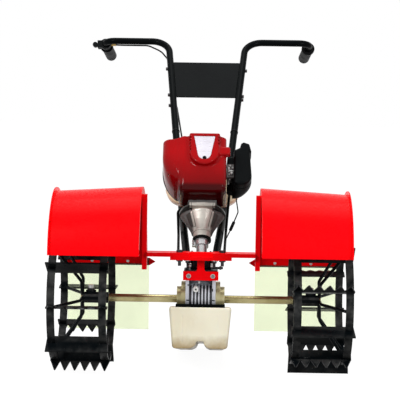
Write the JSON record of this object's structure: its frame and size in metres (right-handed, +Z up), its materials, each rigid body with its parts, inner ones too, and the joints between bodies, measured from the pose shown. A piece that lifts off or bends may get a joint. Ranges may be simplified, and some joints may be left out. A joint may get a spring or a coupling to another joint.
{
  "type": "power paddy weeder",
  "caption": "Walk-behind rice field weeder: engine over a worm gearbox, bladed cage drums under red fenders, a float and a bent tube handlebar.",
  "frame": {"origin": "on the ground, in the middle of the footprint's bounding box", "axes": "+Y runs back along the machine to the operator's handlebar, +X to the right seen from the front, +Z up"},
  "size_m": [0.754, 1.2205, 0.849],
  "materials": {
    "drum_black": "satin black paint",
    "axle_zinc": "yellow zinc plate",
    "gear_silver": "cast and bead blasted",
    "flange_zinc": "yellow zinc plate",
    "plug_white": "matte",
    "tube_silver": "drawn tube",
    "seal_rubber": "matte",
    "cast_grey": "as cast",
    "engine_red": "gloss",
    "muffler_steel": "heat tinted",
    "tank_plastic": "translucent",
    "black_plastic": "matte",
    "frame_red": "gloss",
    "flap_plastic": "translucent",
    "float_plastic": "matte",
    "black_paint": "satin",
    "grip_rubber": "matte",
    "bolt_steel": "zinc plated",
    "cable_black": "satin"
  },
  "bodies": {
    "frame": {"air_cleaner_cover": "black_plastic", "bracket_bolts": "bolt_steel", "carburettor": "cast_grey", "centre_bracket": "frame_red", "clutch_housing": "cast_grey", "clutch_seal": "seal_rubber", "cross_bar_left": "frame_red", "cross_bar_right": "frame_red", "engine_block": "cast_grey", "engine_shroud": "engine_red", "fender_left": "frame_red", "fender_post_left": "frame_red", "fender_post_right": "frame_red", "fender_right": "frame_red", "fender_rim_left": "frame_red", "fender_rim_right": "frame_red", "flap_strip_left": "frame_red", "flap_strip_right": "frame_red", "float": "float_plastic", "float_bracket": "black_paint", "fuel_cap": "black_plastic", "fuel_tank": "tank_plastic", "gearbox_housing": "gear_silver", "grip_left": "grip_rubber", "grip_right": "grip_rubber", "handle_base": "black_paint", "handle_foot_bolts": "bolt_steel", "handle_plate": "black_paint", "handlebar_left": "black_paint", "handlebar_right": "black_paint", "ignition_lead": "cable_black", "loom_left": "cable_black", "loom_right": "cable_black", "lower_tube_left": "black_paint", "lower_tube_right": "black_paint", "mud_flap_left": "flap_plastic", "mud_flap_right": "flap_plastic", "muffler": "muffler_steel", "muffler_guard": "black_plastic", "oil_plug": "plug_white", "output_flange_left": "flange_zinc", "output_flange_right": "flange_zinc", "recoil_starter": "black_plastic", "shaft_tube": "tube_silver", "tank_stay": "cast_grey", "throttle_cable": "cable_black", "throttle_clamp": "black_plastic", "throttle_lever": "black_plastic", "tube_collar": "tube_silver"},
    "rotor": {"axle": "axle_zinc", "drum_left": "drum_black", "drum_right": "drum_black", "hub_bolt_left": "bolt_steel", "hub_bolt_right": "bolt_steel"}
  },
  "joints": [
    {"name": "rotor_spin", "type": "hinge", "parent": "frame", "child": "rotor", "pos_m": [0, -0.3863, 0.186], "axis": [1, 0, 0], "continuous": true}
  ]
}
